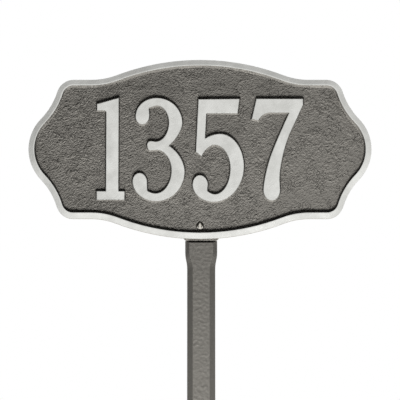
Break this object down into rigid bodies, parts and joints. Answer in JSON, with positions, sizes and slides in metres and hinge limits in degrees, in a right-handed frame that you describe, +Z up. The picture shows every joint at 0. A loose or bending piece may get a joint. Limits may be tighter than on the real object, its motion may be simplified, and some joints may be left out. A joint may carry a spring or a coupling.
{
  "type": "house number plaque",
  "caption": "Cast lawn address plaque with a shaped oval outline, raised rim and raised numerals, screwed to a bevelled ground stake.",
  "frame": {"origin": "on the stake's axis at the ground line, in the plane where the plaque's lug meets the stake's tongue", "axes": "+Z up, +X to the right seen from the front, the numerals face -Y"},
  "size_m": [0.4, 0.0205, 0.636],
  "materials": {
    "two_tone_casting": "pewter grey paint with silver rim and numerals, satin",
    "painted_casting": "pewter grey paint over a lightly pebbled casting, satin",
    "screw_steel": "bright nickel plated",
    "fixing_steel": "zinc plated"
  },
  "bodies": {
    "root": {"plaque": "two_tone_casting", "stake": "painted_casting", "screw": "screw_steel", "washer": "fixing_steel", "nut": "fixing_steel"}
  },
  "joints": []
}
